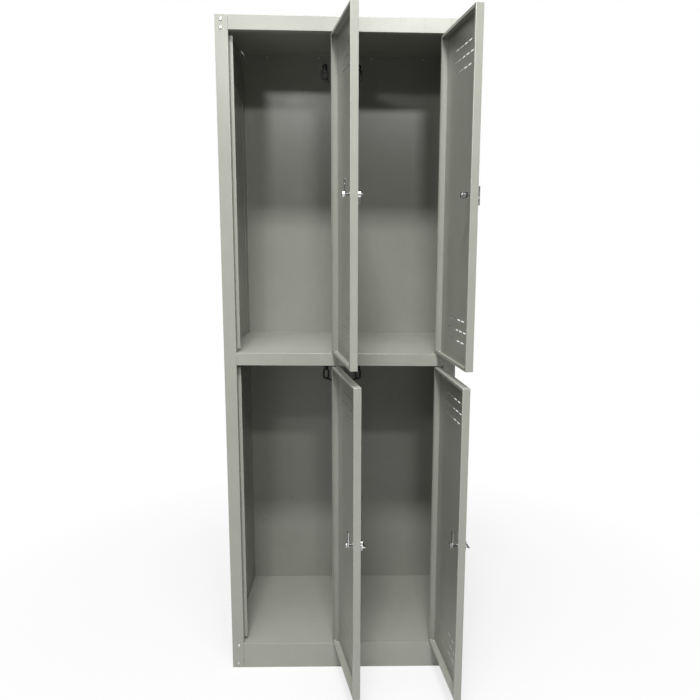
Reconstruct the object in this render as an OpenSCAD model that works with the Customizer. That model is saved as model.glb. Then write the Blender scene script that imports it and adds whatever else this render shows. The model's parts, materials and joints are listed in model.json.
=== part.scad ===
/* [Carcass] */
// Overall width
width = 630; // [600:10:700]
// Overall height
height = 1800; // [1700:10:1900]
// Depth from the front face to the back face
depth = 400; // [360:10:500]
// Thickness of the folded sheet steel
sheet = 1.2; // [1:0.1:1.4]
// Width of the side panels' front flanges
flange_w = 33; // [30:1:40]
// Height of the top rail
rail_h = 36; // [32:1:44]
// Height of the shelf's front lip
lip_h = 34; // [30:1:40]
// Height of the plinth
plinth_h = 76; // [70:2:100]
// Distance from the front face to the door stops
stop_setback = 21.5; // [21:0.5:24]
// Width of a door stop on the hinge side of a door
hinge_stop_w = 19; // [17:1:21]
// Width of a door stop on the latch side of a door
latch_stop_w = 8; // [7.5:0.5:9]

/* [Doors] */
// Depth of the door pans
door_t = 19; // [18:0.5:19]
// Width of the return lips inside the door pans
door_lip = 8; // [6:1:10]
// Gap between a door and the frame on the latch side
latch_gap = 6; // [5:0.5:6]
// Gap between a door and the frame at the hinge side
hinge_gap = 2; // [2:0.5:3]
// Gap above and below each door
end_gap = 3; // [2.5:0.5:4]
// Upper left door's opening in the stored pose, in degrees
upper_left_open = 102; // [0:1:118]
// Upper right door's opening in the stored pose, in degrees
upper_right_open = 100; // [0:1:118]
// Lower left door's opening in the stored pose, in degrees
lower_left_open = 104; // [0:1:118]
// Lower right door's opening in the stored pose, in degrees
lower_right_open = 99; // [0:1:118]

/* [Hinges] */
// Distance from a door's hinge edge to its pin axis
pin_inset = 7; // [7:0.5:8]
// Distance from the front face to the pin axis
pin_setback = 5; // [5:0.5:5.5]
// Radius of the hinge pins
pin_r = 3; // [2.5:0.5:3]
// Running clearance around the hinge pins
pin_clearance = 0.05; // [0.03:0.01:0.1]

/* [Louvres] */
// Length of a louvre slot
slot_l = 24; // [20:1:26]
// Height of a louvre slot
slot_h = 3; // [2:0.5:4]
// Spacing of the slots along a row
slot_pitch = 32; // [30:1:34]
// Spacing of the rows
row_pitch = 27; // [24:1:30]
// Distance from a door's end to its first row
row_start = 55; // [50:1:70]

/* [Latches] */
// Distance from a door's latch edge to the latch spindle
spindle_inset = 33; // [32:1:36]
// Radius of the latch spindle
spindle_r = 4; // [3.5:0.5:4]
// Distance from the front face to the cam
cam_setback = 24.4; // [24.4:0.2:26]
// Reach of the cam from the spindle's axis
cam_reach = 35; // [34:1:36]
// Turn of the upper right latch in the stored pose, in degrees
upper_right_latch_turn = 90; // [0:90:90]

/* [Hooks] */
// Distance of the bottom of a coat hook's loop below the top of its compartment
hook_drop = 115; // [105:1:130]
// Projection of a coat hook from the partition
hook_reach = 57; // [50:1:62]

/* [Rivets] */
// Radius of a rivet's head
rivet_r = 4.5; // [4:0.5:5]
// Spacing of the rivets along the back edges
rivet_pitch = 214; // [200:2:220]

/* [Hidden] */
// Each door: name, column (0 is the left one), tier (0 is the lower one), opening, turn of its latch
DOORS = [
    ["upper_left", 0, 1, upper_left_open, 0],
    ["upper_right", 1, 1, upper_right_open, upper_right_latch_turn],
    ["lower_left", 0, 0, lower_left_open, 0],
    ["lower_right", 1, 0, lower_right_open, 0]
];
CARCASS_NODES = ["left_side_panel", "right_side_panel", "top_panel", "middle_shelf", "bottom_panel",
    "floor_brace", "back_panel", "upper_partition", "lower_partition", "upper_centre_post",
    "lower_centre_post", "hook_rivets", "front_rivets", "side_rivets", "back_rivets", "hinge_washers"];
DOOR_PARTS = ["coat_hook", "door", "hinge_pins", "latch_body", "body_nut",
    "latch_handle", "latch_spindle", "latch_cam", "cam_nut"];
$fn = 32;

paint = [0.78, 0.78, 0.74];
zinc = [0.8, 0.8, 0.82];
plastic = [0.08, 0.08, 0.08];

clear = 0.2;
side_x = width / 2;
front_y = -depth / 2;
back_y = depth / 2;
frame_x = side_x - flange_w;
stop_y = front_y + stop_setback;
rear_y = back_y - sheet - clear;
inner_x = side_x - sheet - clear;

// Heights of the two tiers
open_h = (height - plinth_h - lip_h - rail_h) / 2;
shelf_z = plinth_h + open_h + lip_h;
tier_floor = [plinth_h, shelf_z];
tier_top = [plinth_h + open_h, height - rail_h];
tier_ceiling = [shelf_z, height];
stop_end_gap = 9;

// Folds of the carcass and its brace
back_fold = 38;
tray_fold = 18;
top_rear_fold = 28;
base_fold = 15;
web_x = -3;
web_fold = 18;
post_fold = 14;
brace_w = 60;
brace_fold = 12;

// Doors, drawn shut, with the pin's axis at x = 0 and y = 0
door_w = frame_x - hinge_gap - latch_gap;
latch_edge = pin_inset - door_w;
pin_x = [-hinge_gap - pin_inset, frame_x - hinge_gap - pin_inset];
spare_pin_x = [-frame_x + hinge_gap + pin_inset, hinge_gap + pin_inset];
pin_y = front_y + pin_setback;
face_y = -pin_setback;
door_z = [for (t = [0, 1]) [tier_floor[t] + end_gap, tier_top[t] - end_gap]];
latch_z = [for (t = [0, 1]) (tier_floor[t] + tier_top[t]) / 2];
pin_head_h = 2;
pin_grip = 4;
washer_r = 4.8;
washer_t = 2.6;

// Latches
spindle_x = latch_edge + spindle_inset;
bore_r = spindle_r + 0.05;
cam_t = 2;
cam_w = 14;
cam_nut_h = 5;
body_r = 13;
body_t = 3;
sleeve_r = 6.5;
sleeve_l = 9;
eye_z = -15;
eye_r = 3.4;
eye_x = [4.5, 7.5];
eye_setback = 8;
handle_r = 8.5;
handle_h = 8;
handle_y = face_y - body_t - 0.4;
wing = 22;
wing_t = 3;
wing_h = 11;
spindle_y = handle_y - handle_h + 2;
cam_y = face_y + cam_setback;
cam_nut_y = cam_y + cam_t;

// Rivets
shank_r = 1.6;
rivet_bore_r = 1.8;
side_rivet_y = back_y - 29;
side_rivet_z = [for (z = 62; z < height - 20; z = z + rivet_pitch) z];
tray_rivet_y = [-110, 60];
tray_tops = [plinth_h, shelf_z, height];
front_rivet_places = [[side_x - 15, height - 12], [side_x - 15, height - 32], [side_x - 19, 68],
    [side_x - 16, 13]];
back_rivet_x = [-240, -80, 80, 240];

// Coat hooks
hook_wire_r = 2.8;
hook_ring_r = 7.2;
hook_ring_l = 14;
hook_slope = 18;
hook_knob_r = 7.5;
hook_base = [2.5, 16, 46];
hook_base_z = -12;
hook_rivet_dz = [-26, 2];

// A block between two corners
module block(x0, x1, y0, y1, z0, z1)
    translate([x0, y0, z0]) cube([x1 - x0, y1 - y0, z1 - z0]);

// The same block on both sides of the locker's middle, from near_x out to far_x
module block_pair(near_x, far_x, y0, y1, z0, z1) {
    block(near_x, far_x, y0, y1, z0, z1);
    block(-far_x, -near_x, y0, y1, z0, z1);
}

// A round bar or bore that runs from left to right, from front to back, or upwards
module bar_x(x0, x1, y, z, r) translate([x0, y, z]) rotate([0, 90, 0]) cylinder(r = r, h = x1 - x0);
module bar_y(x, y0, y1, z, r) translate([x, y0, z]) rotate([-90, 0, 0]) cylinder(r = r, h = y1 - y0);
module bar_z(x, y, z0, z1, r) translate([x, y, z0]) cylinder(r = r, h = z1 - z0);

// A dome-headed blind rivet along Z: head above z = 0, set tail below the grip
module rivet(grip) {
    rotate_extrude() intersection() {
        translate([0, -rivet_r * 0.8]) circle(r = rivet_r * 1.28, $fn = 48);
        square([rivet_r, rivet_r]);
    }
    translate([0, 0, -grip]) cylinder(r = shank_r, h = grip);
    translate([0, 0, -grip - 1.2]) cylinder(r = 2.6, h = 1.2);
}

// ---- Carcass ---------------------------------------------------------------------------

// A left-hand side panel whose door stops reach stop_w past its front flange
module side_panel(stop_w) color(paint) difference() {
    union() {
        block(-side_x, -side_x + sheet, front_y, back_y, 0, height);
        block(-side_x, -frame_x, front_y, front_y + sheet, 0, height);
        block(-frame_x - sheet, -frame_x, front_y, stop_y + sheet, 0, height - sheet - clear);
        block(-side_x, -side_x + base_fold, front_y, rear_y, 0, sheet);
        for (t = [0, 1])
            block(-frame_x - sheet, -frame_x + stop_w, stop_y, stop_y + sheet,
                tier_floor[t] + stop_end_gap, tier_top[t] - stop_end_gap);
    }
    for (z = side_rivet_z) bar_x(-side_x - 1, -side_x + sheet + 1, side_rivet_y, z, rivet_bore_r);
    for (z = tray_tops, y = tray_rivet_y)
        bar_x(-side_x - 1, -side_x + sheet + 1, y, z - tray_fold / 2, rivet_bore_r);
    for (p = front_rivet_places) bar_y(-p[0], front_y - 1, front_y + sheet + 1, p[1], rivet_bore_r);
}

module left_side_panel() side_panel(latch_stop_w);

module right_side_panel() mirror([1, 0, 0]) side_panel(hinge_stop_w);

// Bores for the hinge pins, and the spare ones for hanging a door the other way round
module pin_bores(z) {
    for (x = concat(pin_x, spare_pin_x)) bar_z(x, pin_y, z - 1, z + sheet + 1, pin_r + pin_clearance);
}

// A folded tray that spans the locker: a front band from z0 to z1 with a return under it,
// a sheet at z1, and folds along its sides and back
module tray(z0, z1, rear_fold, side_fold) {
    band_x = frame_x - clear;
    wide_y = stop_y + sheet + clear;
    fold_y = back_y - back_fold - 1;
    back_x = inner_x - sheet - clear;
    block(-band_x, band_x, front_y, front_y + sheet, z0, z1);
    block(-band_x, band_x, front_y, stop_y - clear, z0, z0 + sheet);
    block(-band_x, band_x, front_y, wide_y, z1 - sheet, z1);
    block(-inner_x, inner_x, wide_y, fold_y, z1 - sheet, z1);
    block(-back_x, back_x, fold_y, rear_y, z1 - sheet, z1);
    block_pair(inner_x - sheet, inner_x, wide_y, fold_y, z1 - side_fold, z1);
    block(-back_x, back_x, rear_y - sheet, rear_y, z1 - rear_fold, z1);
}

// Tabs that carry a tray's side folds round behind the side panels' front flanges
module tray_tabs(z0, z1) {
    tab_y = front_y + sheet + clear;
    block_pair(inner_x - sheet, inner_x, tab_y, stop_y + sheet + clear, z0, z1);
    block_pair(frame_x + sheet + clear, inner_x, tab_y, tab_y + sheet, z0, z1);
}

// Bores for the rivets that hold a tray to the side panels and the back panel
module tray_rivet_bores(z1) {
    z = z1 - tray_fold / 2;
    for (s = [-1, 1]) {
        for (y = tray_rivet_y) bar_x(s * inner_x - 2, s * inner_x + 2, y, z, rivet_bore_r);
        for (p = front_rivet_places) bar_y(s * p[0], front_y, front_y + 3 * sheet, p[1], rivet_bore_r);
    }
    for (x = back_rivet_x) bar_y(x, rear_y - sheet - 1, rear_y + 1, z, rivet_bore_r);
}

module top_panel() color(paint) difference() {
    union() {
        tray(tier_top[1], height, top_rear_fold, tray_fold);
        tray_tabs(tier_top[1] - 4, height);
        block(-inner_x, inner_x, front_y + sheet + clear, stop_y + sheet + clear, height - sheet, height);
    }
    pin_bores(tier_top[1]);
    tray_rivet_bores(height);
}

module middle_shelf() color(paint) difference() {
    tray(tier_top[0], shelf_z, tray_fold, tray_fold);
    pin_bores(tier_top[0]);
    pin_bores(shelf_z - sheet);
    tray_rivet_bores(shelf_z);
}

module bottom_panel() color(paint) difference() {
    union() {
        tray(0, plinth_h, tray_fold, tray_fold);
        tray_tabs(sheet + clear, plinth_h);
    }
    pin_bores(plinth_h - sheet);
    tray_rivet_bores(plinth_h);
}

// The channel under the bottom panel, on the locker's middle line
module floor_brace() color(paint) {
    y1 = back_y - base_fold - clear;
    z1 = plinth_h - sheet - clear;
    block(-brace_w / 2, brace_w / 2, stop_y, y1, 0, sheet);
    block_pair(brace_w / 2 - sheet, brace_w / 2, stop_y, y1, 0, z1);
    block_pair(brace_w / 2 - sheet, brace_w / 2 + brace_fold, stop_y, y1, z1 - sheet, z1);
}

module back_panel() color(paint) difference() {
    union() {
        block(-inner_x, inner_x, back_y - sheet, back_y, 0, height);
        block_pair(inner_x - sheet, inner_x, back_y - back_fold, back_y, base_fold, height - sheet - clear);
        block(-inner_x + base_fold, inner_x - base_fold, back_y - base_fold, back_y, 0, sheet);
    }
    for (z = side_rivet_z, s = [-1, 1])
        bar_x(s * inner_x - 2, s * inner_x + 2, side_rivet_y, z, rivet_bore_r);
    for (z = tray_tops, x = back_rivet_x)
        bar_y(x, back_y - sheet - 1, back_y + 1, z - tray_fold / 2, rivet_bore_r);
}

// The upright wall between the two compartments of a tier
module partition(tier) color(paint) difference() {
    z0 = tier_floor[tier] + clear;
    z1 = tier_ceiling[tier] - sheet - clear;
    fold_top = tier_ceiling[tier] - (tier == 1 ? top_rear_fold : tray_fold) - clear;
    web_front = stop_y + sheet + clear;
    web_back = rear_y - sheet - clear;
    union() {
        block(web_x - sheet / 2, web_x + sheet / 2, web_front, web_back, z0, z1);
        block(web_x - sheet / 2, web_x + web_fold / 2, web_front, web_front + sheet, z0, z1);
        block(web_x - sheet / 2, web_x + web_fold, web_back - sheet, web_back, z0, fold_top);
    }
    for (dz = hook_rivet_dz)
        bar_x(web_x - 2, web_x + 2, 0, tier_ceiling[tier] - hook_drop + dz, rivet_bore_r);
}

module upper_partition() partition(1);

module lower_partition() partition(0);

// The channel that the doors of a tier close against in the middle
module centre_post(tier) color(paint) {
    z0 = tier_floor[tier] + clear;
    z1 = tier_ceiling[tier] - sheet - clear;
    block(-hinge_stop_w, latch_stop_w, stop_y, stop_y + sheet, z0, z1);
    block(-hinge_stop_w, -hinge_stop_w + sheet, stop_y, stop_y + post_fold, z0, z1);
    difference() {
        block(latch_stop_w - sheet, latch_stop_w, stop_y, stop_y + post_fold, z0, z1);
        // A notch that lets the cam turn in behind the post
        block(latch_stop_w - 2 * sheet, latch_stop_w + 1, stop_y + sheet, stop_y + post_fold + 1,
            latch_z[tier] - cam_w, latch_z[tier] + cam_reach + cam_w / 2);
    }
}

module upper_centre_post() centre_post(1);

module lower_centre_post() centre_post(0);

// ---- Rivets and washers ----------------------------------------------------------------

module front_rivets() color(paint) for (p = front_rivet_places, s = [-1, 1])
    translate([s * p[0], front_y, p[1]]) rotate([90, 0, 0]) rivet(2 * sheet + clear);

module side_rivets() color(paint) for (s = [-1, 1]) {
    for (z = side_rivet_z)
        translate([s * side_x, side_rivet_y, z]) rotate([0, s * 90, 0]) rivet(2 * sheet + clear);
    for (z = tray_tops, y = tray_rivet_y)
        translate([s * side_x, y, z - tray_fold / 2]) rotate([0, s * 90, 0]) rivet(2 * sheet + clear);
}

module back_rivets() color(paint) for (z = tray_tops, x = back_rivet_x)
    translate([x, back_y, z - tray_fold / 2]) rotate([-90, 0, 0]) rivet(2 * sheet + clear);

module hook_rivets() color(plastic) for (t = [0, 1], dz = hook_rivet_dz) {
    grip = sheet + 2 * hook_base[0];
    translate([web_x - grip / 2, 0, tier_ceiling[t] - hook_drop + dz]) rotate([0, -90, 0]) rivet(grip);
}

// Washers that the door pins turn in, seated on the trays
module hinge_washers() color(zinc) for (x = pin_x, t = [0, 1], end = [0, 1]) difference() {
    z0 = end == 0 ? tier_floor[t] : tier_top[t] - washer_t;
    bar_z(x, pin_y, z0, z0 + washer_t, washer_r);
    bar_z(x, pin_y, z0 - 1, z0 + washer_t + 1, pin_r + pin_clearance);
}

// ---- Coat hooks ------------------------------------------------------------------------

// A hook for the partition's right face, with the bottom of its loop at z = 0: a base plate,
// a sloping arm, a long loop that stands upright, and a knob on top
module coat_hook_shape() difference() {
    ring_x = hook_reach - hook_ring_r - hook_wire_r;
    low_z = hook_ring_r + hook_wire_r;
    top_z = low_z + hook_ring_l;
    knob_z = top_z + hook_ring_r + hook_knob_r;
    union() {
        translate([0, -hook_base[1] / 2, hook_base_z - hook_base[2] / 2]) cube(hook_base);
        translate([1, 0, hook_base_z]) rotate([0, 90 - hook_slope, 0])
            cylinder(r = 1.15 * hook_wire_r, h = (ring_x - 2) / cos(hook_slope));
        translate([ring_x, 0, low_z]) mirror([0, 0, 1]) half_ring();
        translate([ring_x, 0, top_z]) half_ring();
        for (s = [-1, 1]) bar_z(ring_x + s * hook_ring_r, 0, low_z, top_z, hook_wire_r);
        bar_z(ring_x, 0, top_z + hook_ring_r - 1, knob_z, 0.75 * hook_knob_r);
        translate([ring_x, 0, knob_z]) sphere(r = hook_knob_r);
    }
    for (dz = hook_rivet_dz) bar_x(-1, hook_base[0] + 1, 0, dz, rivet_bore_r);
}

module half_ring() rotate([90, 0, 0]) rotate_extrude(angle = 180, $fn = 64)
    translate([hook_ring_r, 0]) circle(r = hook_wire_r);

module coat_hook(door) color(plastic)
    translate([web_x, 0, tier_ceiling[door[2]] - hook_drop]) mirror([1 - door[1], 0, 0])
        translate([sheet / 2, 0, 0]) coat_hook_shape();

// ---- Doors -----------------------------------------------------------------------------

// Places a part drawn in the door's own frame, with the door at its stored opening
module on_door(door) translate([pin_x[door[1]], pin_y, 0]) rotate([0, 0, door[3]]) children();

// Places a part of a latch, with the spindle along Y through the origin and the cam upwards
module on_latch(door, turn) on_door(door)
    translate([spindle_x, 0, latch_z[door[2]]]) rotate([0, -turn, 0]) children();

// Three rows of slots, staggered, going from z in the direction of step
module louvre_slots(z, step) {
    middle = latch_edge + door_w / 2;
    for (row = [0 : 2]) {
        count = row == 1 ? 5 : 4;
        row_z = z + step * (row_start + row * row_pitch);
        for (i = [0 : count - 1]) {
            x = middle + (i - (count - 1) / 2) * slot_pitch;
            block(x - slot_l / 2, x + slot_l / 2, face_y - 1, face_y + sheet + 1,
                row_z - slot_h / 2, row_z + slot_h / 2);
        }
    }
}

// A pan with a return lip all round
module door(door) color(paint) on_door(door) {
    z0 = door_z[door[2]][0];
    z1 = door_z[door[2]][1];
    rear = face_y + door_t;
    difference() {
        block(latch_edge, pin_inset, face_y, rear, z0, z1);
        block(latch_edge + sheet, pin_inset - sheet, face_y + sheet, rear - sheet, z0 + sheet, z1 - sheet);
        block(latch_edge + door_lip, pin_inset - door_lip, 0, rear + 1, z0 + door_lip, z1 - door_lip);
        louvre_slots(z0, 1);
        louvre_slots(z1, -1);
        bar_y(spindle_x, face_y - 1, face_y + sheet + 1, latch_z[door[2]], sleeve_r + 0.1);
        bar_z(0, 0, z0 - 1, z1 + 1, pin_r);
    }
}

// Two pins, each with its head inside the pan
module hinge_pins(door) color(zinc) on_door(door) {
    z0 = door_z[door[2]][0] + sheet;
    z1 = door_z[door[2]][1] - sheet;
    reach = sheet + end_gap + sheet + pin_grip;
    bar_z(0, 0, z0 - reach, z0, pin_r);
    bar_z(0, 0, z0, z0 + pin_head_h, 1.2 * pin_r);
    bar_z(0, 0, z1, z1 + reach, pin_r);
    bar_z(0, 0, z1 - pin_head_h, z1, 1.2 * pin_r);
}

// The fixed body: a face plate, a threaded sleeve through the door and an eye for a padlock
module latch_body(door) color(zinc) on_latch(door, 0) difference() {
    union() {
        bar_y(0, face_y - body_t, face_y, 0, body_r);
        bar_y(0, face_y - body_t, face_y - body_t + sleeve_l, 0, sleeve_r);
        block(-5, eye_x[1] + 1, face_y - body_t, face_y, eye_z - 6, 0);
        block(eye_x[0], eye_x[1], face_y - eye_setback - 5, face_y, eye_z - 5, eye_z + 5);
    }
    bar_y(0, face_y - body_t - 1, face_y + sleeve_l, 0, bore_r);
    bar_x(eye_x[0] - 1, eye_x[1] + 1, face_y - eye_setback, eye_z, eye_r);
}

module body_nut(door) color(zinc) on_latch(door, 0) difference() {
    translate([0, face_y + sheet, 0]) rotate([-90, 0, 0]) cylinder(r = 10.5, h = 4, $fn = 6);
    bar_y(0, face_y, face_y + 6, 0, sleeve_r);
}

// The turning handle: a boss, and a wing whose eye meets the body's when the latch is turned
module latch_handle(door) color(zinc) on_latch(door, door[4]) difference() {
    union() {
        bar_y(0, handle_y - handle_h, handle_y, 0, handle_r);
        block(-wing, wing, handle_y - wing_h, handle_y - 0.4, -wing_t / 2, wing_t / 2);
    }
    bar_y(0, spindle_y, handle_y + 1, 0, spindle_r);
    bar_z(eye_z, face_y - eye_setback, -wing_t, wing_t, eye_r);
}

module latch_spindle(door) color(zinc) on_latch(door, door[4])
    bar_y(0, spindle_y, cam_nut_y + cam_nut_h + 0.6, 0, spindle_r);

module latch_cam(door) color(zinc) on_latch(door, door[4]) difference() {
    union() {
        bar_y(0, cam_y, cam_nut_y, 0, cam_w / 2);
        block(-cam_w / 2, cam_w / 2, cam_y, cam_nut_y, 0, cam_reach);
    }
    bar_y(0, cam_y - 1, cam_nut_y + 1, 0, spindle_r);
}

module cam_nut(door) color(zinc) on_latch(door, door[4]) difference() {
    translate([0, cam_nut_y, 0]) rotate([-90, 0, 0]) cylinder(r = 7.5, h = cam_nut_h, $fn = 6);
    bar_y(0, cam_nut_y - 1, cam_nut_y + cam_nut_h + 1, 0, spindle_r);
}

left_side_panel();
right_side_panel();
top_panel();
middle_shelf();
bottom_panel();
floor_brace();
back_panel();
upper_partition();
lower_partition();
upper_centre_post();
lower_centre_post();
hook_rivets();
front_rivets();
side_rivets();
back_rivets();
hinge_washers();
for (d = DOORS) {
    coat_hook(d);
    door(d);
    hinge_pins(d);
    latch_body(d);
    body_nut(d);
    latch_handle(d);
    latch_spindle(d);
    latch_cam(d);
    cam_nut(d);
}
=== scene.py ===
"""Four-door steel locker: painted sheet steel, zinc latches, black coat hooks."""
import json
import math

import bmesh
import bpy
from mathutils import Matrix, Vector


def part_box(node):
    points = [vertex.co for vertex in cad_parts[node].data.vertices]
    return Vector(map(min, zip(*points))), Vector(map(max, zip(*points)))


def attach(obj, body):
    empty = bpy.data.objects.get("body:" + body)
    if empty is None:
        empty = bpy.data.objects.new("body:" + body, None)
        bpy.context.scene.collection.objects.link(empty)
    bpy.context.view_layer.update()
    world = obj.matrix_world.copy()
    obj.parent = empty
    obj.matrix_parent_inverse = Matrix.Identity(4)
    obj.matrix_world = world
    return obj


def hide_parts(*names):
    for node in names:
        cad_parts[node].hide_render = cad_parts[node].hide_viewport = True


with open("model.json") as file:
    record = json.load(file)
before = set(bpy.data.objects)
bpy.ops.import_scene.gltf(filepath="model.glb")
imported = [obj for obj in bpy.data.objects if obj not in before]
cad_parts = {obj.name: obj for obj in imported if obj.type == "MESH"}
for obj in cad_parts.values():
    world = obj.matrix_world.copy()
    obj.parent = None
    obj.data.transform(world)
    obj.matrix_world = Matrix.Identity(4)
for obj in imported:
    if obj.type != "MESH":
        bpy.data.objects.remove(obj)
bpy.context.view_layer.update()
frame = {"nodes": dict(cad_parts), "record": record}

DOORS = ("upper_left", "upper_right", "lower_left", "lower_right")
NODE_BODY = {
    node: body for body, nodes in frame["record"]["behaviour"]["bodies"].items() for node in nodes
}
NODE_SLOT = {part["node"]: part["material_slot"] for part in frame["record"]["subparts"]}
MM = 0.001
WHITE = (1.0, 1.0, 1.0, 1.0)


# ---- Shader helpers ----------------------------------------------------------------------


class Nodes:
    """Short calls for adding and joining nodes in one tree."""

    def __init__(self, tree):
        self.tree = tree

    def add(self, kind, values=(), **settings):
        node = self.tree.nodes.new(kind)
        for name, value in settings.items():
            setattr(node, name, value)
        for key, value in dict(values).items():
            self.feed(value, node.inputs[key])
        return node

    def feed(self, value, socket):
        if isinstance(value, bpy.types.NodeSocket):
            self.tree.links.new(value, socket)
        else:
            socket.default_value = value

    def math(self, operation, a, b=0.0, clamp=False):
        node = self.add("ShaderNodeMath", {0: a, 1: b}, operation=operation, use_clamp=clamp)
        return node.outputs[0]

    def noise(self, coords, scale, detail=4.0, roughness=0.5):
        return self.add(
            "ShaderNodeTexNoise",
            {"Vector": coords, "Scale": scale, "Detail": detail, "Roughness": roughness},
        ).outputs["Fac"]

    def ramp(self, value, low, high, to_low=0.0, to_high=1.0):
        return self.add(
            "ShaderNodeMapRange", {0: value, 1: low, 2: high, 3: to_low, 4: to_high}, clamp=True
        ).outputs[0]

    def mix(self, factor, a, b, blend="MIX"):
        node = self.add("ShaderNodeMix", data_type="RGBA", blend_type=blend)
        for index, value in ((0, factor), (6, a), (7, b)):
            self.feed(value, node.inputs[index])
        return node.outputs[2]


def shader_group(name, inputs, outputs, build):
    """A shader node group with the given float or colour sockets, filled by build."""
    tree = bpy.data.node_groups.new(name, "ShaderNodeTree")
    for label, kind, default in inputs:
        socket = tree.interface.new_socket(label, in_out="INPUT", socket_type=kind)
        if default is not None:
            socket.default_value = default
    for label, kind in outputs:
        tree.interface.new_socket(label, in_out="OUTPUT", socket_type=kind)
    nodes = Nodes(tree)
    given = tree.nodes.new("NodeGroupInput")
    result = tree.nodes.new("NodeGroupOutput")
    for label, socket in build(nodes, given.outputs).items():
        nodes.feed(socket, result.inputs[label])
    return tree


def build_surface(n, given):
    """Cloudy tone, handling marks, fine grain and worn edges from object coordinates."""
    coords = n.add("ShaderNodeTexCoord").outputs["Object"]
    cloud = n.noise(coords, 3.2, 3.0, 0.55)
    mottle = n.noise(coords, 38.0, 4.0, 0.6)
    tone = n.math("ADD", n.math("MULTIPLY", cloud, 0.7), n.math("MULTIPLY", mottle, 0.3))
    smudge_place = n.ramp(n.noise(coords, 9.0, 5.0, 0.62), 0.52, 0.72)
    streaks = n.add(
        "ShaderNodeMapping", {"Vector": coords, "Scale": (90.0, 90.0, 6.0)}, vector_type="POINT"
    ).outputs[0]
    smudge = n.math("MULTIPLY", smudge_place, n.ramp(n.noise(streaks, 1.0, 4.0, 0.6), 0.35, 0.75))
    edge = n.add("ShaderNodeAttribute", attribute_name="edge").outputs["Fac"]
    rubbed = n.ramp(n.noise(coords, 120.0, 5.0, 0.7), 0.42, 0.62)
    wear = n.math("MULTIPLY", edge, rubbed, True)
    grain = n.noise(coords, given["Grain scale"], 3.0, 0.55)
    height = n.math("ADD", n.math("MULTIPLY", grain, 0.75), n.math("MULTIPLY", mottle, 0.25))
    bump = n.add(
        "ShaderNodeBump",
        {"Strength": given["Grain depth"], "Distance": 0.0004, "Height": height},
    ).outputs["Normal"]
    roughness = n.math(
        "ADD",
        given["Roughness"],
        n.math(
            "ADD",
            n.math("MULTIPLY", n.math("SUBTRACT", tone, 0.5), 0.16),
            n.math("MULTIPLY", smudge, given["Smudge"]),
        ),
        True,
    )
    return {"Tone": tone, "Wear": wear, "Smudge": smudge, "Roughness": roughness, "Normal": bump}


SURFACE = shader_group(
    "Surface detail",
    (
        ("Grain scale", "NodeSocketFloat", 900.0),
        ("Grain depth", "NodeSocketFloat", 0.25),
        ("Roughness", "NodeSocketFloat", 0.35),
        ("Smudge", "NodeSocketFloat", 0.08),
    ),
    (
        ("Tone", "NodeSocketFloat"),
        ("Wear", "NodeSocketFloat"),
        ("Smudge", "NodeSocketFloat"),
        ("Roughness", "NodeSocketFloat"),
        ("Normal", "NodeSocketVector"),
    ),
    build_surface,
)


def material(name, dark, light, worn, surface, metallic=0.0):
    """A Principled material whose colour runs from dark to light, with worn edges."""
    made = bpy.data.materials.new(name)
    made.use_nodes = True
    tree = made.node_tree
    tree.nodes.clear()
    n = Nodes(tree)
    detail = n.add("ShaderNodeGroup", node_tree=SURFACE)
    for label, value in surface.items():
        detail.inputs[label].default_value = value
    out = detail.outputs
    base = n.mix(n.ramp(out["Tone"], 0.3, 0.7), (*dark, 1.0), (*light, 1.0))
    base = n.mix(n.math("MULTIPLY", out["Smudge"], 0.25), base, (*[0.8 * c for c in dark], 1.0))
    base = n.mix(n.math("MULTIPLY", out["Wear"], 0.7), base, (*worn, 1.0))
    shader = n.add(
        "ShaderNodeBsdfPrincipled",
        {
            "Base Color": base,
            "Roughness": out["Roughness"],
            "Normal": out["Normal"],
            "Metallic": metallic,
        },
    )
    n.add("ShaderNodeOutputMaterial", {"Surface": shader.outputs[0]})
    return made


MATERIALS = {
    "light_grey_paint": material(
        "Light grey powder coat",
        (0.246, 0.249, 0.217),
        (0.278, 0.281, 0.246),
        (0.42, 0.424, 0.385),
        {"Grain scale": 1100.0, "Grain depth": 0.24, "Roughness": 0.3, "Smudge": 0.14},
    ),
    "bright_zinc": material(
        "Bright zinc plate",
        (0.60, 0.60, 0.61),
        (0.80, 0.80, 0.81),
        (0.9, 0.9, 0.9),
        {"Grain scale": 2200.0, "Grain depth": 0.12, "Roughness": 0.2, "Smudge": 0.16},
        metallic=1.0,
    ),
    "rivet_aluminium": material(
        "Satin aluminium",
        (0.518, 0.518, 0.511),
        (0.619, 0.619, 0.612),
        (0.662, 0.662, 0.662),
        {"Grain scale": 1800.0, "Grain depth": 0.2, "Roughness": 0.34, "Smudge": 0.1},
        metallic=1.0,
    ),
    "black_plastic": material(
        "Black moulded plastic",
        (0.006, 0.006, 0.007),
        (0.014, 0.014, 0.016),
        (0.05, 0.05, 0.052),
        {"Grain scale": 1500.0, "Grain depth": 0.3, "Roughness": 0.36, "Smudge": 0.12},
    ),
}


# ---- Geometry helpers --------------------------------------------------------------------

WELD = 0.002 * MM
FLAT_ANGLE = math.radians(0.5)
BEND_ANGLE = math.radians(35)
SHARP_ANGLE = math.radians(40)


def merged(node):
    """A bmesh of a CAD node with its loose triangles joined at their corners."""
    bm = bmesh.new()
    bm.from_mesh(frame["nodes"][node].data)
    bmesh.ops.remove_doubles(bm, verts=bm.verts, dist=WELD)
    bmesh.ops.recalc_face_normals(bm, faces=bm.faces)
    return bm


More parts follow.
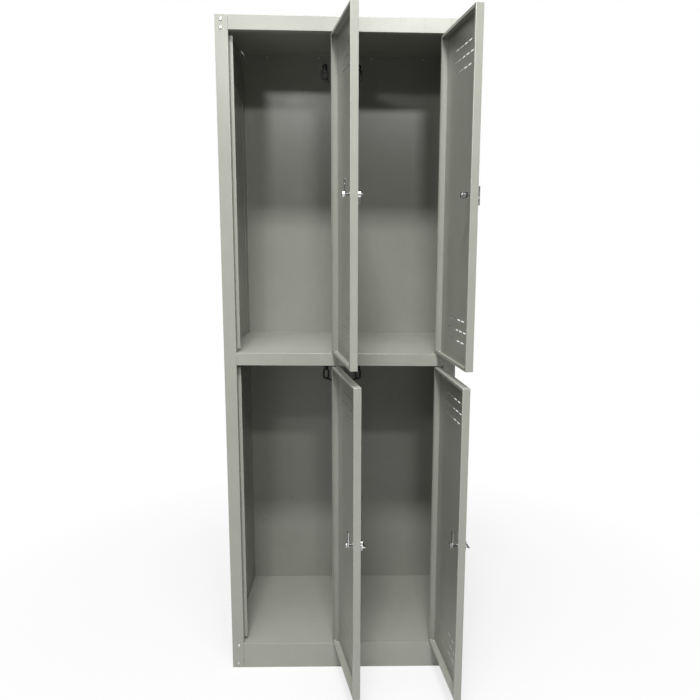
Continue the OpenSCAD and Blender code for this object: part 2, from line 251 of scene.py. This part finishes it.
def islands(node):
    """The lowest and highest corner of each separate solid in a CAD node."""
    bm = merged(node)
    found, seen = [], set()
    for start in bm.verts:
        if start.index in seen:
            continue
        stack, reached = [start], []
        seen.add(start.index)
        while stack:
            vert = stack.pop()
            reached.append(vert.co.copy())
            for edge in vert.link_edges:
                other = edge.other_vert(vert)
                if other.index not in seen:
                    seen.add(other.index)
                    stack.append(other)
        found.append(
            tuple(Vector([pick(co[k] for co in reached) for k in range(3)]) for pick in (min, max))
        )
    bm.free()
    return sorted(found, key=lambda corners: tuple(round(c, 4) for c in corners[0]))


def bake(obj):
    """obj's mesh with its modifiers applied, and the modifiers gone."""
    graph = bpy.context.evaluated_depsgraph_get()
    mesh = bpy.data.meshes.new_from_object(obj.evaluated_get(graph))
    old = obj.data
    obj.modifiers.clear()
    obj.data = mesh
    mesh.name = obj.name
    if not old.users:
        bpy.data.meshes.remove(old)
    return obj


def link(name, mesh):
    obj = bpy.data.objects.new(name, mesh)
    bpy.context.scene.collection.objects.link(obj)
    return obj


def finish_piece(obj, node):
    """Gives a piece its material and its body, and hides the CAD node that it stands for."""
    mesh = obj.data
    mesh.materials.clear()
    mesh.materials.append(MATERIALS[NODE_SLOT[node]])
    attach(obj, NODE_BODY[node])
    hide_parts(node)


def mark_edges(mesh, index):
    """Writes the edge attribute: 1 on faces with that material index, which are rounded edges
    and are shaded smooth."""
    layer = mesh.attributes.new("edge", "FLOAT", "CORNER")
    for face in mesh.polygons:
        value = 1.0 if face.material_index == index else 0.0
        for corner in face.loop_indices:
            layer.data[corner].value = value
        face.use_smooth = value > 0
        face.material_index = 0


def rounded(name, node, fold, edge, sheet=1.25 * MM):
    """A CAD node with rounded edges: folds between two wide faces get the fold radius, and
    all other edges, such as cut sheet edges and hole rims, get the edge radius."""
    bm = merged(node)
    bmesh.ops.dissolve_limit(
        bm, angle_limit=FLAT_ANGLE, verts=bm.verts, edges=bm.edges, delimit={"NORMAL"}
    )
    weights = bm.edges.layers.float.new("bevel_weight_edge")
    for e in bm.edges:
        if len(e.link_faces) != 2 or e.calc_face_angle(0.0) < BEND_ANGLE:
            continue
        thin = any(face_width(face, e) < 2.2 * sheet for face in e.link_faces)
        e[weights] = edge / fold if thin or not e.is_convex else 1.0
    mesh = bpy.data.meshes.new(name)
    bm.to_mesh(mesh)
    bm.free()
    obj = link(name, mesh)
    mesh.materials.append(None)
    mesh.materials.append(None)
    bevel = obj.modifiers.new("Rounded edges", "BEVEL")
    bevel.limit_method = "WEIGHT"
    bevel.width = fold
    bevel.segments = 2
    bevel.use_clamp_overlap = False
    bevel.material = 1
    bevel.miter_outer = "MITER_SHARP"
    bake(obj)
    mark_edges(obj.data, 1)
    finish_piece(obj, node)
    return obj


def face_width(face, edge):
    """How far a face reaches from one of its edges, square to it."""
    a, b = (v.co for v in edge.verts)
    along = (b - a).normalized()
    return max(((v.co - a) - along * (v.co - a).dot(along)).length for v in face.verts)


def lathe(name, profile, steps=28):
    """A closed solid of revolution about Z from (radius, height) pairs, axis to axis."""
    bm = bmesh.new()
    rings = []
    for radius, height in profile:
        if radius == 0:
            rings.append([bm.verts.new((0, 0, height))])
        else:
            rings.append([
                bm.verts.new((radius * math.cos(t), radius * math.sin(t), height))
                for t in (2 * math.pi * k / steps for k in range(steps))
            ])
    for low, high in zip(rings, rings[1:]):
        for k in range(steps):
            quad = [
                low[k % len(low)], low[(k + 1) % len(low)],
                high[(k + 1) % len(high)], high[k % len(high)],
            ]
            corners = list(dict.fromkeys(quad))
            if len(corners) > 2:
                bm.faces.new(corners)
    bmesh.ops.recalc_face_normals(bm, faces=bm.faces)
    mesh = bpy.data.meshes.new(name)
    bm.to_mesh(mesh)
    bm.free()
    for face in mesh.polygons:
        face.use_smooth = True
    mesh.set_sharp_from_angle(angle=SHARP_ANGLE)
    return mesh


SIZE_SPREAD = 0.02
SIZE_SEED = 3.0
SPIN_SEED = 11
FULL_TURN = 6.283


def fastener_tree():
    """Geometry Nodes: a fastener on every point, turned to the point's own direction."""
    tree = bpy.data.node_groups.new("Fasteners", "GeometryNodeTree")
    sockets = tree.interface
    sockets.new_socket("Points", in_out="INPUT", socket_type="NodeSocketGeometry")
    sockets.new_socket("Fastener", in_out="INPUT", socket_type="NodeSocketObject")
    sockets.new_socket("Material", in_out="INPUT", socket_type="NodeSocketMaterial")
    for label, default in (("Size spread", SIZE_SPREAD), ("Seed", SIZE_SEED)):
        number = sockets.new_socket(label, in_out="INPUT", socket_type="NodeSocketFloat")
        number.default_value = default
    sockets.new_socket("Fasteners", in_out="OUTPUT", socket_type="NodeSocketGeometry")
    n = Nodes(tree)
    given = tree.nodes.new("NodeGroupInput").outputs
    shape = n.add(
        "GeometryNodeObjectInfo", {"Object": given["Fastener"]}, transform_space="ORIGINAL"
    )
    out = n.add("GeometryNodeInputNamedAttribute", {"Name": "out"}, data_type="FLOAT_VECTOR")
    turned = n.add(
        "FunctionNodeAlignRotationToVector", {"Vector": out.outputs["Attribute"]}, axis="Z"
    )
    spin = n.add(
        "FunctionNodeRandomValue", {2: 0.0, 3: FULL_TURN, "Seed": SPIN_SEED}, data_type="FLOAT"
    )
    about = n.add("FunctionNodeAxisAngleToRotation", {"Axis": (0, 0, 1), "Angle": spin.outputs[1]})
    rotation = n.add(
        "FunctionNodeRotateRotation",
        {"Rotation": turned.outputs[0], "Rotate By": about.outputs[0]},
        rotation_space="LOCAL",
    )
    least = n.math("SUBTRACT", 1.0, given["Size spread"])
    size = n.add(
        "FunctionNodeRandomValue", {2: least, 3: 1.0, "Seed": given["Seed"]}, data_type="FLOAT"
    )
    placed = n.add(
        "GeometryNodeInstanceOnPoints",
        {
            "Points": given["Points"],
            "Instance": shape.outputs["Geometry"],
            "Rotation": rotation.outputs[0],
            "Scale": size.outputs[1],
        },
    )
    solid = n.add("GeometryNodeRealizeInstances", {"Geometry": placed.outputs[0]})
    painted = n.add(
        "GeometryNodeSetMaterial", {"Geometry": solid.outputs[0], "Material": given["Material"]}
    )
    result = tree.nodes.new("NodeGroupOutput")
    tree.links.new(painted.outputs[0], result.inputs[0])
    return tree


FASTENERS = fastener_tree()


def fasteners(name, node, shape, places):
    """The fasteners of one CAD node, each at a (place, direction) pair."""
    mesh = bpy.data.meshes.new(name)
    mesh.from_pydata([place for place, _ in places], [], [])
    layer = mesh.attributes.new("out", "FLOAT_VECTOR", "POINT")
    for item, (_, direction) in zip(layer.data, places):
        item.vector = direction
    obj = link(name, mesh)
    pattern = link(name + "_pattern", shape)
    modifier = obj.modifiers.new("Fasteners", "NODES")
    modifier.node_group = FASTENERS
    values = {
        "Fastener": pattern,
        "Material": MATERIALS[NODE_SLOT[node]],
        "Size spread": SIZE_SPREAD,
        "Seed": SIZE_SEED,
    }
    for item in FASTENERS.interface.items_tree:
        if item.in_out == "INPUT" and item.name in values:
            modifier[item.identifier] = values[item.name]
    bake(obj)
    bpy.data.objects.remove(pattern)
    obj.data.attributes.new("edge", "FLOAT", "CORNER")
    finish_piece(obj, node)
    return obj


# ---- Painted sheet metal -----------------------------------------------------------------

CUT_EDGE = 0.25 * MM
DOOR_FOLD = 1.0 * MM
CARCASS_FOLD = 0.9 * MM
# Sheets with notches or holes close to a fold have a tighter bend
TIGHT_FOLD = 0.5 * MM

for node in ("left_side_panel", "right_side_panel", "top_panel", "middle_shelf", "floor_brace",
             "back_panel", "upper_partition", "lower_partition"):
    rounded(node + "_sheet", node, fold=CARCASS_FOLD, edge=CUT_EDGE)
for node in ("bottom_panel", "upper_centre_post", "lower_centre_post"):
    rounded(node + "_sheet", node, fold=TIGHT_FOLD, edge=CUT_EDGE)
for door in DOORS:
    rounded(door + "_door_pan", door + "_door", fold=DOOR_FOLD, edge=CUT_EDGE)


# ---- Rivets ------------------------------------------------------------------------------


HEAD_R = 4.5 * MM
HEAD_H = 2.1 * MM
CROWN_R = 1.5 * MM
SHANK_R = 1.6 * MM
TAIL_R = 2.6 * MM
TAIL_H = 1.2 * MM
DOME_STEPS = 6
HEAD_SEAT = 2.16 * MM


def rivet_mesh(name, length):
    """A blind rivet: a dome with the broken-off stem in its middle, a shank and a set tail."""
    grip = length - HEAD_H - TAIL_H
    profile = [
        (0, HEAD_H - 0.9 * MM),
        (0.9 * MM, HEAD_H - 0.8 * MM),
        (1.15 * MM, HEAD_H - 0.15 * MM),
    ]
    for k in range(DOME_STEPS):
        t = (k + 1) / DOME_STEPS
        radius = CROWN_R + (HEAD_R - CROWN_R) * t
        profile.append((radius, HEAD_H * math.sqrt(max(0.0, 1 - t ** 2.6))))
    profile += [
        (SHANK_R, 0), (SHANK_R, -grip), (TAIL_R - 0.1 * MM, -grip),
        (TAIL_R, -grip - 0.5 * MM), (2.0 * MM, -grip - TAIL_H), (0, -grip - TAIL_H),
    ]
    return lathe(name, profile)


def rivet_places(node, axis, side):
    """Where each rivet's head meets the sheet, and which way it points. side is -1 or 1, or 0
    where the heads point away from the middle."""
    places = []
    for low, high in islands(node):
        centre = (low + high) / 2
        way = side or math.copysign(1, centre[axis])
        place = centre.copy()
        place[axis] = (high[axis] if way > 0 else low[axis]) - way * HEAD_SEAT
        direction = Vector((0, 0, 0))
        direction[axis] = way
        places.append((place, direction))
    return places


for node, axis, side in (("front_rivets", 1, -1), ("side_rivets", 0, 0),
                         ("back_rivets", 1, 1), ("hook_rivets", 0, -1)):
    low, high = islands(node)[0]
    shape = rivet_mesh(node + "_shape", high[axis] - low[axis])
    fasteners(node + "_set", node, shape, rivet_places(node, axis, side))


# ---- Coat hooks --------------------------------------------------------------------------

MOULDING_CELL = 0.6 * MM
FILLET_PASSES = 5

for door in DOORS:
    node = door + "_coat_hook"
    bm = merged(node)
    mesh = bpy.data.meshes.new(node + "_moulded")
    bm.to_mesh(mesh)
    bm.free()
    hook = link(node + "_moulded", mesh)
    remesh = hook.modifiers.new("Moulding", "REMESH")
    remesh.mode = "VOXEL"
    remesh.voxel_size = MOULDING_CELL
    smooth = hook.modifiers.new("Fillets", "SMOOTH")
    smooth.factor = 0.5
    smooth.iterations = FILLET_PASSES
    bake(hook)
    hook.data.polygons.foreach_set("use_smooth", [True] * len(hook.data.polygons))
    hook.data.attributes.new("edge", "FLOAT", "CORNER")
    finish_piece(hook, node)


# ---- Latches and hinges ------------------------------------------------------------------

for door in DOORS:
    for part in ("latch_body", "latch_handle", "latch_spindle", "latch_cam", "hinge_pins",
                 "body_nut", "cam_nut"):
        node = door + "_" + part
        rounded(node + "_plated", node, fold=0.4 * MM, edge=0.2 * MM, sheet=0.8 * MM)
# The whole rim of a washer has one radius
rounded("hinge_washers_plated", "hinge_washers", fold=0.3 * MM, edge=0.3 * MM, sheet=0.1 * MM)


# ---- Floor, light and camera -------------------------------------------------------------

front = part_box("left_side_panel")[0][1]
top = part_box("right_side_panel")[1][2]
FLOOR_REACH = 30.0
FADE_START, FADE_END = 0.4, 1.5


def floor_material():
    """A pale floor that fades into the white surround away from the locker."""
    made = bpy.data.materials.new("Pale floor")
    made.use_nodes = True
    n = Nodes(made.node_tree)
    made.node_tree.nodes.clear()
    coords = n.add("ShaderNodeTexCoord").outputs["Object"]
    tone = n.ramp(n.noise(coords, 2.0, 3.0), 0.3, 0.7, 0.6, 0.64)
    matt = n.add("ShaderNodeBsdfPrincipled", {"Base Color": tone, "Roughness": 0.75})
    bright = n.add("ShaderNodeEmission", {"Color": WHITE, "Strength": 1.0})
    away = n.add("ShaderNodeVectorMath", {0: coords}, operation="LENGTH").outputs["Value"]
    fade = n.ramp(away, FADE_START, FADE_END, 0.72, 1.0)
    seen = n.add("ShaderNodeLightPath").outputs["Is Camera Ray"]
    both = n.add(
        "ShaderNodeMixShader",
        {0: n.math("MULTIPLY", fade, seen), 1: matt.outputs[0], 2: bright.outputs[0]},
    )
    n.add("ShaderNodeOutputMaterial", {"Surface": both.outputs[0]})
    return made


def studio_world():
    """White where the camera looks past the locker, and a faint soft light elsewhere."""
    world = bpy.data.worlds.new("Studio")
    world.use_nodes = True
    world.node_tree.nodes.clear()
    n = Nodes(world.node_tree)
    seen = n.add("ShaderNodeLightPath").outputs["Is Camera Ray"]
    soft = n.add("ShaderNodeBackground", {"Color": (0.97, 1.0, 0.98, 1.0), "Strength": 0.22})
    white = n.add("ShaderNodeBackground", {"Color": WHITE, "Strength": 1.0})
    both = n.add("ShaderNodeMixShader", {0: seen, 1: soft.outputs[0], 2: white.outputs[0]})
    n.add("ShaderNodeOutputWorld", {"Surface": both.outputs[0]})
    return world


def lamp(name, place, target, width, height, power):
    """A rectangular soft light at place, facing target."""
    light = bpy.data.lights.new(name, "AREA")
    light.shape = "RECTANGLE"
    light.size, light.size_y = width, height
    light.energy = power
    obj = bpy.data.objects.new(name, light)
    bpy.context.scene.collection.objects.link(obj)
    obj.location = place
    obj.rotation_euler = (Vector(target) - Vector(place)).to_track_quat("-Z", "Y").to_euler()


floor_mesh = bpy.data.meshes.new("studio_floor")
corners = [(x * FLOOR_REACH, y * FLOOR_REACH, 0) for x, y in ((-1, -1), (1, -1), (1, 1), (-1, 1))]
floor_mesh.from_pydata(corners, [], [(0, 1, 2, 3)])
floor = link("studio_floor", floor_mesh)
floor_mesh.materials.append(floor_material())

bpy.context.scene.world = studio_world()

# Two small lamps high in front give the crossed shadows inside; two larger ones fill from above
middle = (0.0, front, top / 2)
lamp("Key_left", (-0.445, front - 1.9, top + 0.33), middle, 0.22, 0.1, 7)
lamp("Key_right", (0.349, front - 1.9, top + 0.57), middle, 0.24, 0.1, 15)
lamp("Ceiling", (-0.1, front - 2.56, top + 2.9), middle, 0.7, 0.35, 170)
lamp("Overhead", (0.0, front - 1.2, top + 2.6), middle, 2.4, 1.6, 140)

CAMERA_PLACE = (0.0739, -2.0492, 1.2694)
CAMERA_PAN, CAMERA_TILT, CAMERA_ROLL = -0.0288, -0.1652, -0.0103

camera_data = bpy.data.cameras.new("Camera")
camera_data.sensor_width = 36.0
camera_data.lens = 35.42
camera_data.shift_x = -0.0529
camera_data.shift_y = -0.0069
camera = bpy.data.objects.new("Camera", camera_data)
bpy.context.scene.collection.objects.link(camera)
bpy.context.scene.camera = camera
camera.matrix_world = (
    Matrix.Translation(CAMERA_PLACE)
    @ Matrix.Rotation(CAMERA_PAN, 4, "Z")
    @ Matrix.Rotation(CAMERA_TILT, 4, "X")
    @ Matrix.Rotation(CAMERA_ROLL, 4, "Y")
    @ Matrix.Rotation(math.pi / 2, 4, "X")
)

bpy.context.scene.view_settings.view_transform = "Standard"
